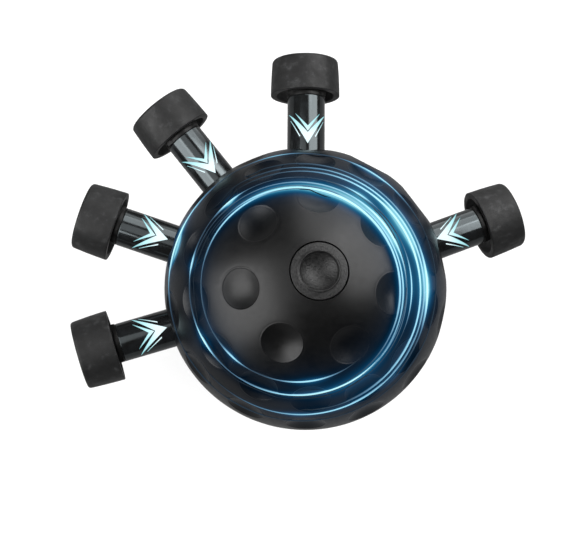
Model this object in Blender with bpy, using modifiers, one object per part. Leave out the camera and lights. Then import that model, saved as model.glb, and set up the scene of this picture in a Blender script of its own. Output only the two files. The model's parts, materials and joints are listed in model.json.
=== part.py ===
"""Hand grip strengthener: a dimpled ball that a hand closes round, with one sprung plunger for each finger.

Five stems slide and turn in bushes on the ball's equator. Each carries a rubber finger sleeve on a
saddle, and a coil spring on a guide pin pushes it out from the hub in the middle of the ball.
Frame: +Z up through the front cap, +Y towards the index finger, +X towards the thumb, and the origin
at the centre of the flat rear cap that the ball stands on. Units are metres.
"""

import math

import bmesh
import bpy
from mathutils import Matrix, Vector

MM = 0.001
GAP = 0.3 * MM

# The ball
BALL_RADIUS = 40 * MM
SHELL_WALL = 2.5 * MM
BALL_CENTRE_HEIGHT = 38.2 * MM
SEAM_GAP = GAP
INNER_RADIUS = BALL_RADIUS - SHELL_WALL

# Dimples: rings at a polar angle from the front cap, mirrored on the rear half
DIMPLE_RADIUS = 5.5 * MM
DIMPLE_DEPTH = 1.6 * MM
DIMPLE_RINGS = ((30.7, 7), (54.0, 14), (75.0, 14))
DIMPLE_START_DEG = 191.0

# Caps and the screw that holds the two half shells together
FRONT_CAP_RADIUS = 7.35 * MM
FRONT_CAP_FACE = math.sqrt(BALL_RADIUS**2 - FRONT_CAP_RADIUS**2)
FRONT_RECESS_DEPTH = 2.5 * MM
REAR_CAP_RADIUS = 11.6 * MM
REAR_FLAT = BALL_CENTRE_HEIGHT - 0.4 * MM
REAR_RECESS_DEPTH = 2.3 * MM
COLUMN_RADIUS = 7.0 * MM
SCREW_RADIUS = 2.0 * MM
SCREW_BORE = SCREW_RADIUS + GAP
SCREW_HEAD_RADIUS = 3.8 * MM
HEAD_BORE = 4.2 * MM
HEAD_SEAT = 12.0 * MM
SCREW_TIP = -18.0 * MM
NUT_TOP = -14.0 * MM
NUT_HEIGHT = 3.2 * MM
NUT_CORNER_RADIUS = 4.05 * MM
NUT_POCKET_RADIUS = 4.45 * MM

# The hub between the shells' columns
HUB_RADIUS = 12.6 * MM
HUB_HALF_HEIGHT = 6.0 * MM
SEAT_RADIUS = 3.6 * MM
SEAT_START = 12.3 * MM
SEAT_END = 13.8 * MM

# Fingers: azimuth of each stem on the equator, from +X towards +Y, and how far past the mean it reaches
FINGERS = {
    "thumb": (20.1, -1.5 * MM),
    "index": (89.0, 0.9 * MM),
    "middle": (128.3, 0.8 * MM),
    "ring_finger": (161.1, 0.2 * MM),
    "little": (196.2, -0.4 * MM),
}

# One plunger of mean reach, as distances from the ball's centre along the stem
TRAVEL = 11.0 * MM
STEM_RADIUS = 5.45 * MM
STEM_BORE = 3.9 * MM
STEM_FLANGE_RADIUS = 6.15 * MM
STEM_FLANGE = 1.2 * MM
STEM_START = 32.7 * MM
STEM_END = 54.8 * MM
PORT_RADIUS = 5.8 * MM
BUSH_BORE = 5.75 * MM
BUSH_RADIUS = 7.0 * MM
BUSH_START = STEM_START + STEM_FLANGE + GAP
BUSH_END = 37.2 * MM
BOSS_RADIUS = 8.5 * MM
PLUG_RADIUS = 3.6 * MM
PLUG_START = 49.0 * MM
PIN_RADIUS = 1.7 * MM
PIN_START = 7.8 * MM
PIN_END = PLUG_START - TRAVEL - 2 * MM
WASHER_THICKNESS = 1.0 * MM
WASHER_BORE = 2.0 * MM
WASHER_START = PLUG_START - GAP - WASHER_THICKNESS

# The spring
WIRE_RADIUS = 0.5 * MM
COIL_RADIUS = 2.9 * MM
COIL_TURNS = 6.5
END_TURNS = 1.0
END_PITCH = 1.4 * MM
POINTS_PER_TURN = 8

# The finger sleeve, whose axis lies behind the stem's
SLEEVE_OFFSET = -3.3 * MM
SLEEVE_BORE = 8.35 * MM
SLEEVE_START = 56.4 * MM
SLEEVE_END = 66.9 * MM
SLEEVE_START_RADIUS = 10.1 * MM
SLEEVE_END_RADIUS = 9.65 * MM
SLEEVE_EDGE = 0.8 * MM
SADDLE_OUTER = SLEEVE_BORE - GAP
SADDLE_FLAT = 2.6 * MM
SADDLE_END = 66.0 * MM
SADDLE_DISC = 1.0 * MM

# Facets
BALL_SEGMENTS = 28
BALL_ARC_STEPS = 6
ROUND_SEGMENTS = 20
SMALL_SEGMENTS = 12
DIMPLE_SEGMENTS = 8


def clear_scene():
    for old in list(bpy.data.objects):
        bpy.data.objects.remove(old, do_unlink=True)


def new_collection(name):
    collection = bpy.data.collections.new(name)
    bpy.context.scene.collection.children.link(collection)
    return collection


def principled(name, colour, roughness, metallic=0.0):
    material = bpy.data.materials.new(name)
    material.use_nodes = True
    shader = material.node_tree.nodes["Principled BSDF"]
    shader.inputs["Base Color"].default_value = (*colour, 1.0)
    shader.inputs["Roughness"].default_value = roughness
    shader.inputs["Metallic"].default_value = metallic
    return material


class Workshop:
    """Holds the collections, the materials and the frame that new parts hang on."""

    def __init__(self):
        self.parts = new_collection("hand_grip_strengthener")
        self.guides = new_collection("cutters_and_frames")
        self.materials = {
            "shell": principled("satin_black_shell", (0.022, 0.022, 0.024), 0.38),
            "cap": principled("black_cap", (0.026, 0.026, 0.028), 0.45),
            "stem": principled("gloss_black_stem", (0.012, 0.013, 0.014), 0.12),
            "saddle": principled("black_saddle", (0.02, 0.02, 0.021), 0.5),
            "rubber": principled("sleeve_rubber", (0.045, 0.045, 0.046), 0.75),
            "hub": principled("grey_hub", (0.16, 0.16, 0.17), 0.45),
            "bush": principled("natural_acetal", (0.62, 0.61, 0.57), 0.4),
            "steel": principled("plated_steel", (0.6, 0.6, 0.62), 0.28, 1.0),
            "spring": principled("spring_steel", (0.45, 0.45, 0.47), 0.32, 1.0),
        }

    def frame(self, name, matrix):
        empty = bpy.data.objects.new(name, None)
        empty.hide_render = True
        empty.matrix_world = matrix
        self.guides.objects.link(empty)
        return empty

    def part(self, obj, frame, material):
        obj.parent = frame
        obj.data.materials.clear()
        obj.data.materials.append(self.materials[material])
        self.parts.objects.link(obj)
        return obj

    def cutter(self, obj, frame):
        obj.parent = frame
        obj.hide_render = True
        obj.display_type = "WIRE"
        self.guides.objects.link(obj)
        return obj


def shade(mesh):
    mesh.shade_smooth()
    mesh.set_sharp_from_angle(angle=math.radians(35))


def object_from_bmesh(name, shape):
    mesh = bpy.data.meshes.new(name)
    shape.to_mesh(mesh)
    shape.free()
    shade(mesh)
    return bpy.data.objects.new(name, mesh)


def arc(centre, radius, start_deg, end_deg, steps):
    """Points (across, along) on an arc, both ends included."""
    points = []
    for step in range(steps + 1):
        angle = math.radians(start_deg + (end_deg - start_deg) * step / steps)
        points.append((centre[0] + radius * math.cos(angle), centre[1] + radius * math.sin(angle)))
    return points


def turned(name, profile, segments, hollow=False):
    """A turned shape from (radius, height) points that run down its outer side.

    A solid's profile starts and ends on the axis; a hollow one is a closed loop off it."""
    mesh = bpy.data.meshes.new(name)
    points = [(radius, 0.0, height) for radius, height in profile]
    edges = [(i, i + 1) for i in range(len(points) - 1)]
    if hollow:
        edges.append((len(points) - 1, 0))
    mesh.from_pydata(points, edges, [])
    obj = bpy.data.objects.new(name, mesh)
    screw = obj.modifiers.new("turn", "SCREW")
    screw.steps = segments
    screw.render_steps = segments
    screw.use_merge_vertices = True
    screw.merge_threshold = 0.00001
    screw.use_smooth_shade = True
    return obj


def add_cylinder(shape, radius, start, end, segments, matrix):
    """Adds a cylinder along the local Z of matrix, from start to end, to a bmesh."""
    middle = matrix @ Matrix.Translation((0.0, 0.0, (start + end) / 2))
    bmesh.ops.create_cone(
        shape,
        cap_ends=True,
        segments=segments,
        radius1=radius,
        radius2=radius,
        depth=end - start,
        matrix=middle,
    )


def add_box(shape, size, centre):
    matrix = Matrix.Translation(centre) @ Matrix.Diagonal((*size, 1.0))
    bmesh.ops.create_cube(shape, size=1.0, matrix=matrix)


def combine(obj, tool, operation):
    boolean = obj.modifiers.new(tool.name, "BOOLEAN")
    boolean.operation = operation
    boolean.solver = "EXACT"
    boolean.object = tool


def extruded_outline(name, points, start, end):
    """A flat outline in the local XY plane, extruded from start to end along Z, as a mesh object."""
    curve = bpy.data.curves.new(name, "CURVE")
    curve.dimensions = "2D"
    curve.fill_mode = "BOTH"
    curve.extrude = (end - start) / 2
    spline = curve.splines.new("POLY")
    spline.points.add(len(points) - 1)
    for point, (x, y) in zip(spline.points, points):
        point.co = (x, y, 0.0, 1.0)
    spline.use_cyclic_u = True
    return curve_to_mesh(name, curve, Vector((0.0, 0.0, (start + end) / 2)))


def curve_to_mesh(name, curve, offset):
    """Turns a curve into a closed mesh object and removes the curve."""
    source = bpy.data.objects.new(name + "_curve", curve)
    bpy.context.scene.collection.objects.link(source)
    evaluated = source.evaluated_get(bpy.context.evaluated_depsgraph_get())
    mesh = bpy.data.meshes.new_from_object(evaluated)
    shape = bmesh.new()
    shape.from_mesh(mesh)
    bmesh.ops.remove_doubles(shape, verts=shape.verts, dist=0.00001)
    bmesh.ops.translate(shape, verts=shape.verts, vec=offset)
    shape.to_mesh(mesh)
    shape.free()
    bpy.data.objects.remove(source, do_unlink=True)
    mesh.name = name
    shade(mesh)
    return bpy.data.objects.new(name, mesh)


def stem_frame_matrix(azimuth_deg):
    """Local +Z points out along the stem, local +Y points up, and the origin is the ball's centre."""
    azimuth = math.radians(azimuth_deg)
    outward = Vector((math.cos(azimuth), math.sin(azimuth), 0.0))
    upward = Vector((0.0, 0.0, 1.0))
    sideways = upward.cross(outward)
    turn = Matrix((sideways, upward, outward)).transposed().to_4x4()
    return turn


def dimple_cutter(name, side):
    """Flattened balls on the rings of one half: side is 1 for the front and -1 for the rear."""
    shape = bmesh.new()
    for polar_deg, count in DIMPLE_RINGS:
        for k in range(count):
            azimuth = math.radians(DIMPLE_START_DEG + 360.0 * k / count)
            polar = math.radians(polar_deg)
            outward = Vector((
                math.sin(polar) * math.cos(azimuth),
                math.sin(polar) * math.sin(azimuth),
                side * math.cos(polar),
            ))
            turn = outward.to_track_quat("Z", "Y").to_matrix().to_4x4()
            place = Matrix.Translation(outward * BALL_RADIUS) @ turn
            squash = Matrix.Diagonal((1.0, 1.0, DIMPLE_DEPTH / DIMPLE_RADIUS, 1.0))
            bmesh.ops.create_uvsphere(
                shape,
                u_segments=DIMPLE_SEGMENTS,
                v_segments=4,
                radius=DIMPLE_RADIUS,
                matrix=place @ squash,
            )
    return object_from_bmesh(name, shape)


def boss_tool(name):
    """Collars inside the shell that hold the bushes, one at each port."""
    shape = bmesh.new()
    for azimuth, _ in FINGERS.values():
        matrix = stem_frame_matrix(azimuth)
        add_cylinder(shape, BOSS_RADIUS, BUSH_START, INNER_RADIUS + 0.4 * MM, ROUND_SEGMENTS, matrix)
    return object_from_bmesh(name, shape)


def port_cutter(name, radius, start, end):
    shape = bmesh.new()
    for azimuth, _ in FINGERS.values():
        add_cylinder(shape, radius, start, end, ROUND_SEGMENTS, stem_frame_matrix(azimuth))
    return object_from_bmesh(name, shape)


def half_space_cutter(name, side):
    """A block that removes everything past the seam, for the half shell on the other side of it."""
    shape = bmesh.new()
    reach = 2.4 * BALL_RADIUS
    middle = side * (reach / 4 - SEAM_GAP / 2)
    add_box(shape, (reach, reach, reach / 2), (0.0, 0.0, -middle))
    return object_from_bmesh(name, shape)


def front_shell_profile():
    recess = FRONT_CAP_RADIUS + GAP
    recess_floor = FRONT_CAP_FACE - FRONT_RECESS_DEPTH
    pad_radius = recess + 2.3 * MM
    pad_underside = recess_floor - 2.4 * MM
    outer_top = math.degrees(math.acos(recess / BALL_RADIUS))
    inner_top = math.degrees(math.acos(pad_radius / INNER_RADIUS))
    seam_outer = math.degrees(math.asin(SEAM_GAP / 2 / BALL_RADIUS))
    seam_inner = math.degrees(math.asin(SEAM_GAP / 2 / INNER_RADIUS))
    profile = arc((0, 0), BALL_RADIUS, outer_top, seam_outer, BALL_ARC_STEPS)
    profile += arc((0, 0), INNER_RADIUS, seam_inner, inner_top, BALL_ARC_STEPS)
    profile += [
        (pad_radius, pad_underside),
        (COLUMN_RADIUS, pad_underside),
        (COLUMN_RADIUS, HUB_HALF_HEIGHT + GAP),
        (SCREW_BORE, HUB_HALF_HEIGHT + GAP),
        (SCREW_BORE, HEAD_SEAT),
        (HEAD_BORE, HEAD_SEAT),
        (HEAD_BORE, recess_floor),
        (recess, recess_floor),
    ]
    return profile


def rear_shell_profile():
    recess = REAR_CAP_RADIUS + GAP
    recess_floor = -REAR_FLAT + REAR_RECESS_DEPTH
    pad_top = recess_floor + 2.2 * MM
    outer_end = -math.degrees(math.asin(REAR_FLAT / BALL_RADIUS))
    inner_end = math.degrees(math.asin(pad_top / INNER_RADIUS))
    seam_outer = -math.degrees(math.asin(SEAM_GAP / 2 / BALL_RADIUS))
    seam_inner = -math.degrees(math.asin(SEAM_GAP / 2 / INNER_RADIUS))
    profile = arc((0, 0), BALL_RADIUS, seam_outer, outer_end, BALL_ARC_STEPS)
    profile += [
        (recess, -REAR_FLAT),
        (recess, recess_floor),
        (SCREW_BORE, recess_floor),
        (SCREW_BORE, -HUB_HALF_HEIGHT - GAP),
        (COLUMN_RADIUS, -HUB_HALF_HEIGHT - GAP),
        (COLUMN_RADIUS, pad_top),
    ]
    profile += arc((0, 0), INNER_RADIUS, inner_end, seam_inner, BALL_ARC_STEPS)
    return profile


def build_shells(shop, centre):
    bosses = shop.cutter(boss_tool("bush_collars"), centre)
    wide_start = STEM_START - 2 * MM
    seats = shop.cutter(port_cutter("bush_seats", BUSH_RADIUS + GAP, wide_start, INNER_RADIUS), centre)
    past_ball = BALL_RADIUS + 4 * MM
    ports = shop.cutter(port_cutter("stem_ports", PORT_RADIUS, wide_start, past_ball), centre)
    halves = (("front_shell", 1, front_shell_profile()), ("rear_shell", -1, rear_shell_profile()))
    shells = {}
    for name, side, profile in halves:
        shell = turned(name, profile, BALL_SEGMENTS, hollow=True)
        block = shop.cutter(half_space_cutter(name + "_past_seam", side), centre)
        dimples = shop.cutter(dimple_cutter(name + "_dimples", side), centre)
        combine(shell, bosses, "UNION")
        combine(shell, block, "DIFFERENCE")
        combine(shell, seats, "DIFFERENCE")
        combine(shell, ports, "DIFFERENCE")
        combine(shell, dimples, "DIFFERENCE")
        shells[name] = shop.part(shell, centre, "shell")
    pocket = bmesh.new()
    pocket_floor = NUT_TOP + GAP
    add_cylinder(pocket, NUT_POCKET_RADIUS, -BALL_RADIUS, pocket_floor, 6, Matrix.Identity(4))
    nut_pocket = shop.cutter(object_from_bmesh("nut_pocket", pocket), centre)
    combine(shells["rear_shell"], nut_pocket, "DIFFERENCE")


def build_caps(shop, centre):
    plug_radius = HEAD_BORE - GAP
    face = FRONT_CAP_FACE
    underside = face - FRONT_RECESS_DEPTH + GAP
    bowl_depth = 1.3 * MM
    bowl_half = 5.1 * MM
    bowl_radius = (bowl_half**2 + bowl_depth**2) / (2 * bowl_depth)
    rim = math.degrees(math.asin(bowl_half / bowl_radius))
    bowl = arc((0, face - bowl_depth + bowl_radius), bowl_radius, -90, -90 + rim, 4)
    front = bowl + [
        (FRONT_CAP_RADIUS - 0.3 * MM, face),
        (FRONT_CAP_RADIUS, face - 0.3 * MM),
        (FRONT_CAP_RADIUS, underside),
        (plug_radius, underside),
        (plug_radius, underside - 6 * MM),
        (0.0, underside - 6 * MM),
    ]
    front[0] = (0.0, front[0][1])
    shop.part(turned("front_cap", front, ROUND_SEGMENTS), centre, "cap")
    top = -REAR_FLAT + REAR_RECESS_DEPTH - GAP
    stub_radius = 3.5 * MM
    edge = 0.4 * MM
    rear = [
        (0.0, top + 6 * MM),
        (stub_radius, top + 6 * MM),
        (stub_radius, top),
        (REAR_CAP_RADIUS, top),
        (REAR_CAP_RADIUS, -BALL_CENTRE_HEIGHT + edge),
        (REAR_CAP_RADIUS - edge, -BALL_CENTRE_HEIGHT),
        (0.0, -BALL_CENTRE_HEIGHT),
    ]
    shop.part(turned("rear_cap", rear, ROUND_SEGMENTS), centre, "cap")


def build_fastening(shop, centre):
    head_base = HEAD_SEAT + GAP
    head_side = 1.5 * MM
    head_rise = 2.6 * MM
    profile = [
        (0.0, head_base + head_rise),
        (0.6 * SCREW_HEAD_RADIUS, head_base + 0.93 * head_rise),
        (SCREW_HEAD_RADIUS, head_base + head_side),
        (SCREW_HEAD_RADIUS, head_base),
        (SCREW_RADIUS, head_base),
        (SCREW_RADIUS, SCREW_TIP + 0.6 * MM),
        (SCREW_RADIUS - 0.6 * MM, SCREW_TIP),
        (0.0, SCREW_TIP),
    ]
    screw = turned("centre_screw", profile, SMALL_SEGMENTS)
    for name, size in (("driver_slot_x", (3.6, 0.8, 3.0)), ("driver_slot_y", (0.8, 3.6, 3.0))):
        slot = bmesh.new()
        add_box(slot, Vector(size) * MM, (0.0, 0.0, head_base + head_rise))
        combine(screw, shop.cutter(object_from_bmesh(name, slot), centre), "DIFFERENCE")
    shop.part(screw, centre, "steel")

    block = bmesh.new()
    add_cylinder(block, NUT_CORNER_RADIUS, NUT_TOP - NUT_HEIGHT, NUT_TOP, 6, Matrix.Identity(4))
    nut = object_from_bmesh("centre_nut", block)
    bore = bmesh.new()
    add_cylinder(bore, SCREW_BORE, NUT_TOP - 2 * NUT_HEIGHT, NUT_TOP + NUT_HEIGHT, SMALL_SEGMENTS,
                 Matrix.Identity(4))
    combine(nut, shop.cutter(object_from_bmesh("nut_bore", bore), centre), "DIFFERENCE")
    shop.part(nut, centre, "steel")


def build_hub(shop, centre):
    profile = [
        (HUB_RADIUS - 0.6 * MM, HUB_HALF_HEIGHT),
        (HUB_RADIUS, HUB_HALF_HEIGHT - 0.6 * MM),
        (HUB_RADIUS, -HUB_HALF_HEIGHT + 0.6 * MM),
        (HUB_RADIUS - 0.6 * MM, -HUB_HALF_HEIGHT),
        (SCREW_BORE, -HUB_HALF_HEIGHT),
        (SCREW_BORE, HUB_HALF_HEIGHT),
    ]
    hub = turned("core_hub", profile, ROUND_SEGMENTS, hollow=True)
    seats = bmesh.new()
    holes = bmesh.new()
    for azimuth, _ in FINGERS.values():
        matrix = stem_frame_matrix(azimuth)
        add_cylinder(seats, SEAT_RADIUS, SEAT_START, SEAT_END, SMALL_SEGMENTS, matrix)
        add_cylinder(holes, PIN_RADIUS + GAP, PIN_START - GAP, SEAT_END + 1 * MM, SMALL_SEGMENTS, matrix)
    combine(hub, shop.cutter(object_from_bmesh("spring_seats", seats), centre), "UNION")
    combine(hub, shop.cutter(object_from_bmesh("pin_holes", holes), centre), "DIFFERENCE")
    shop.part(hub, centre, "hub")


def stem_profile(extra):
    end = STEM_END + extra
    edge = 0.4 * MM
    return [
        (STEM_BORE, end),
        (STEM_RADIUS - edge, end),
        (STEM_RADIUS, end - edge),
        (STEM_RADIUS, STEM_START + STEM_FLANGE),
        (STEM_FLANGE_RADIUS, STEM_START + STEM_FLANGE),
        (STEM_FLANGE_RADIUS, STEM_START),
        (STEM_BORE, STEM_START),
    ]


def bush_profile():
    return [
        (BUSH_BORE + 0.3 * MM, BUSH_END),
        (BUSH_RADIUS, BUSH_END),
        (BUSH_RADIUS, BUSH_START),
        (BUSH_BORE, BUSH_START),
        (BUSH_BORE, BUSH_END - 0.3 * MM),
    ]


def pin_profile():
    tip = 0.5 * MM
    return [
        (0.0, PIN_END),
        (PIN_RADIUS - tip, PIN_END),
        (PIN_RADIUS, PIN_END - tip),
        (PIN_RADIUS, PIN_START),
        (0.0, PIN_START),
    ]


def washer_profile():
    end = WASHER_START + WASHER_THICKNESS
    return [
        (PLUG_RADIUS, end),
        (PLUG_RADIUS, WASHER_START),
        (WASHER_BORE, WASHER_START),
        (WASHER_BORE, end),
    ]


def sleeve_profile():
    """Straight bore, slightly tapered outside, with a rounded outer end and a crisp end at the ball."""
    corner = arc((SLEEVE_END_RADIUS - SLEEVE_EDGE, SLEEVE_END - SLEEVE_EDGE), SLEEVE_EDGE, 90, 0, 3)
    return corner + [
        (SLEEVE_START_RADIUS, SLEEVE_START + 0.2 * MM),
        (SLEEVE_START_RADIUS - 0.2 * MM, SLEEVE_START),
        (SLEEVE_BORE, SLEEVE_START),
        (SLEEVE_BORE, SLEEVE_END - 0.3 * MM),
    ]


def saddle_outline():
    """The slice of the sleeve's bore in front of the finger: a round back and a flat face."""
    rise = SADDLE_FLAT - SLEEVE_OFFSET
    half_angle = math.degrees(math.acos(rise / SADDLE_OUTER))
    return arc((0.0, SLEEVE_OFFSET), SADDLE_OUTER, 90 - half_angle, 90 + half_angle, 8)


def build_saddle(shop, name, frame, extra):
    """A disc and plug that close the stem's end, with a tongue that runs into the sleeve."""
    disc_start = STEM_END + GAP + extra
    disc_end = disc_start + SADDLE_DISC
    profile = [
        (0.0, disc_end),
        (STEM_RADIUS - 0.3 * MM, disc_end),
        (STEM_RADIUS, disc_end - 0.3 * MM),
        (STEM_RADIUS, disc_start),
        (PLUG_RADIUS, disc_start),
        (PLUG_RADIUS, PLUG_START),
        (0.0, PLUG_START),
    ]
    saddle = turned(name + "_saddle", profile, ROUND_SEGMENTS)
    tongue_start = disc_start + 0.3 * MM
    tongue = extruded_outline(name + "_tongue", saddle_outline(), tongue_start, SADDLE_END + extra)
    combine(saddle, shop.cutter(tongue, frame), "UNION")
    shop.part(saddle, frame, "saddle")


def spring_points():
    """A coil with a closed turn at each end, from the hub's seat to the washer."""
    low = SEAT_END + GAP + WIRE_RADIUS
    high = WASHER_START - GAP - WIRE_RADIUS
    pitch = (high - low - 2 * END_TURNS * END_PITCH) / (COIL_TURNS - 2 * END_TURNS)
    points = []
    for k in range(round(COIL_TURNS * POINTS_PER_TURN) + 1):
        turn = k / POINTS_PER_TURN
        closed_start = min(turn, END_TURNS)
        closed_end = max(0.0, turn - (COIL_TURNS - END_TURNS))
        height = low + (closed_start + closed_end) * END_PITCH + (turn - closed_start - closed_end) * pitch
        angle = 2 * math.pi * turn
        points.append((COIL_RADIUS * math.cos(angle), COIL_RADIUS * math.sin(angle), height))
    return points


def build_spring(shop, name, frame):
    curve = bpy.data.curves.new(name + "_spring", "CURVE")
    curve.dimensions = "3D"
    curve.bevel_depth = WIRE_RADIUS
    curve.bevel_resolution = 2
    curve.use_fill_caps = True
    points = spring_points()
    spline = curve.splines.new("POLY")
    spline.points.add(len(points) - 1)
    for point, place in zip(spline.points, points):
        point.co = (*place, 1.0)
    spring = bpy.data.objects.new(name + "_spring", curve)
    shop.part(spring, frame, "spring")


def build_finger(shop, name, azimuth, extra, centre):
    """One plunger and its guides. A longer finger's stem, saddle and sleeve stand out by extra."""
    place = Matrix.Translation(centre.matrix_world.translation) @ stem_frame_matrix(azimuth)
    frame = shop.frame(name + "_axis", place)
    shop.part(turned(name + "_stem", stem_profile(extra), ROUND_SEGMENTS, hollow=True), frame, "stem")
    shop.part(turned(name + "_guide_bush", bush_profile(), ROUND_SEGMENTS, hollow=True), frame, "bush")
    shop.part(turned(name + "_guide_pin", pin_profile(), SMALL_SEGMENTS), frame, "steel")
    washer = turned(name + "_thrust_washer", washer_profile(), SMALL_SEGMENTS, hollow=True)
    shop.part(washer, frame, "bush")
    sleeve = turned(name + "_sleeve", sleeve_profile(), ROUND_SEGMENTS, hollow=True)
    sleeve.location = (0.0, SLEEVE_OFFSET, extra)
    shop.part(sleeve, frame, "rubber")
    build_saddle(shop, name, frame, extra)
    build_spring(shop, name, frame)


def build():
    clear_scene()
    shop = Workshop()
    centre = shop.frame("ball_centre", Matrix.Translation((0.0, 0.0, BALL_CENTRE_HEIGHT)))
    bpy.context.view_layer.update()
    build_shells(shop, centre)
    build_caps(shop, centre)
    build_fastening(shop, centre)
    build_hub(shop, centre)
    for name, (azimuth, extra) in FINGERS.items():
        build_finger(shop, name, azimuth, extra, centre)


build()
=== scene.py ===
"""Looks for a hand grip strengthener: a dimpled ball with a sprung plunger and a sleeve for each finger.

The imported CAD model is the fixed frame. Every part but the hub, the screw and the nut gets a fine mesh in
the same place, with rounded edges, and every part gets a procedural material. Units are metres.
"""

import json
import math
from collections import namedtuple

import bpy
import numpy as np
from mathutils import Matrix, Vector


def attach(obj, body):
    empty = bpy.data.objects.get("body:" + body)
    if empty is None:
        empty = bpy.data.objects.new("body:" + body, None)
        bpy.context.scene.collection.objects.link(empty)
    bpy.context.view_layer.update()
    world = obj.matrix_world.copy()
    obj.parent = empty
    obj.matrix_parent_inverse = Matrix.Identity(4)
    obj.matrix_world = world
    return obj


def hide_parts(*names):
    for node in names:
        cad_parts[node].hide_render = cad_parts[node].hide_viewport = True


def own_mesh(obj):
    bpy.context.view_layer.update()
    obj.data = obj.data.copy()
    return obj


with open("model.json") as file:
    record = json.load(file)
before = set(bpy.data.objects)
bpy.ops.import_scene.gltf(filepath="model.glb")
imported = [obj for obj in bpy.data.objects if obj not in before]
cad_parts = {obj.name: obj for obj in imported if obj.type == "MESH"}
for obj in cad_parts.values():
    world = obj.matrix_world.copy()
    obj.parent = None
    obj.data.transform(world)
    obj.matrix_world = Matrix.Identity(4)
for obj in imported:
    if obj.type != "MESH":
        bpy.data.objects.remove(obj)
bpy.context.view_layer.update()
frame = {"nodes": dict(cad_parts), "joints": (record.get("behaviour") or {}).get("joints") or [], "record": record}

MM = 0.001
# Clearance between fitted parts
GAP = 0.3 * MM

# What the frame gives: joints, fingers, the ball's centre and its radius
JOINTS = {joint["name"]: joint for joint in frame["joints"]}
FINGERS = [name.removesuffix("_press") for name in JOINTS if name.endswith("_press")]
CENTRE = Vector((0.0, 0.0, JOINTS[FINGERS[0] + "_swivel"]["pos_m"][2]))
SLOTS = {part["node"]: part["material_slot"] for part in frame["record"]["subparts"]}
BALL_RADIUS = max((v.co - CENTRE).length for v in frame["nodes"]["front_shell"].data.vertices)

# The ball, as the CAD has it
SHELL_WALL = 2.5 * MM
INNER_RADIUS = BALL_RADIUS - SHELL_WALL
DIMPLE_RADIUS = 5.5 * MM
DIMPLE_DEPTH = 1.6 * MM
DIMPLE_SOFTNESS = 0.22 * MM
# Rings of dimples: (degrees from the front or the rear, number of dimples)
DIMPLE_RINGS = ((30.7, 7), (54.0, 14), (75.0, 14))
DIMPLE_START_DEG = 191.0
# How wide a band about a dimple's edge the "rim" number covers, from 0 inside to 1 outside
RIM_SPAN = 3.0 * MM
FRONT_CAP_RADIUS = 7.35 * MM
FRONT_CAP_FACE = math.sqrt(BALL_RADIUS**2 - FRONT_CAP_RADIUS**2)
FRONT_RECESS_DEPTH = 2.5 * MM
REAR_CAP_RADIUS = 11.6 * MM
REAR_FLAT = CENTRE.z - 0.4 * MM
REAR_RECESS_DEPTH = 2.3 * MM
COLUMN_RADIUS = 7.0 * MM
HUB_HALF_HEIGHT = 6.0 * MM
SCREW_BORE = 2.3 * MM
HEAD_BORE = 4.2 * MM
HEAD_SEAT = 12.0 * MM
PORT_RADIUS = 5.8 * MM
PORT_CHAMFER = 0.35 * MM
BOSS_RADIUS = 8.5 * MM
NUT_POCKET_RADIUS = 4.45 * MM

# One plunger: radii about the stem's axis, or about the sleeve's axis behind it
STEM_RADIUS = 5.45 * MM
STEM_BORE = 3.9 * MM
STEM_FLANGE = 1.2 * MM
PLUG_RADIUS = 3.6 * MM
SADDLE_DISC = 1.0 * MM
SLEEVE_OFFSET = -3.3 * MM
SLEEVE_BORE = 8.35 * MM
SLEEVE_END_RADIUS = 9.65 * MM
SADDLE_OUTER = SLEEVE_BORE - GAP
SADDLE_FLAT = 2.6 * MM
WASHER_BORE = 2.0 * MM
BUSH_BORE = 5.75 * MM
WIRE_RADIUS = 0.5 * MM
COIL_RADIUS = 2.9 * MM
COIL_TURNS = 6.5
END_TURNS = 1.0
END_PITCH = 1.4 * MM

# Fine mesh
BALL_SEGMENTS = 560
BALL_ROWS = 124
INNER_ROWS = 12
ROUND_SEGMENTS = 160
SLEEVE_SEGMENTS = 240
TOOL_SEGMENTS = 96
STRIPE_STEPS = 720
TURN_STEPS = 32
WIRE_SIDES = 12
SHARP_DEG = 32.0

# Pinstripes round the front of the ball, each a circle about an axis that leans in x and y. Their glow is
# painted light, and a painted highlight is where a stripe shines: (azimuth in degrees, reach in degrees, added
# glow).
Stripe = namedtuple("Stripe", "lean radius width base_glow spots")
STRIPES = (
    Stripe((-0.163, -0.082), 25.15 * MM, 0.42 * MM, 0.0,
           ((128, 28, 0.6), (200, 60, 0.14), (227, 8, 0.5), (276, 17, 0.65))),
    Stripe((-0.165, -0.129), 26.9 * MM, 0.46 * MM, 0.0, ((10, 45, 0.6), (66, 32, 0.75), (108, 22, 0.5))),
    Stripe((-0.164, -0.134), 27.65 * MM, 0.36 * MM, 0.03, ((20, 62, 0.6),)),
    Stripe((-0.163, -0.133), 28.55 * MM, 0.36 * MM, 0.03, ((33, 16, 0.5), (50, 62, 0.5))),
    Stripe((-0.168, -0.086), 28.65 * MM, 0.34 * MM, 0.12,
           ((128, 7, 0.75), (167, 6, 0.6), (209, 9, 0.75), (270, 28, 0.5), (303, 24, 0.6))),
    Stripe((-0.144, -0.113), 29.3 * MM, 0.30 * MM, 0.0, ((0, 16, 0.6), (57, 9, 0.6), (30, 60, 0.1))),
    Stripe((-0.147, -0.138), 31.8 * MM, 0.46 * MM, 0.0, ((28, 50, 0.9), (320, 30, 0.35))),
    Stripe((-0.155, -0.142), 33.0 * MM, 0.38 * MM, 0.0, ((30, 52, 0.75), (285, 38, 0.6))),
    Stripe((-0.170, -0.142), 34.2 * MM, 0.44 * MM, 0.0, ((0, 14, 0.7), (30, 50, 0.4))),
    Stripe((-0.158, -0.0735), 36.45 * MM, 0.30 * MM, 0.06, ((158, 19, 1.0), (55, 14, 0.6), (100, 10, 0.4))),
)
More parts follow.
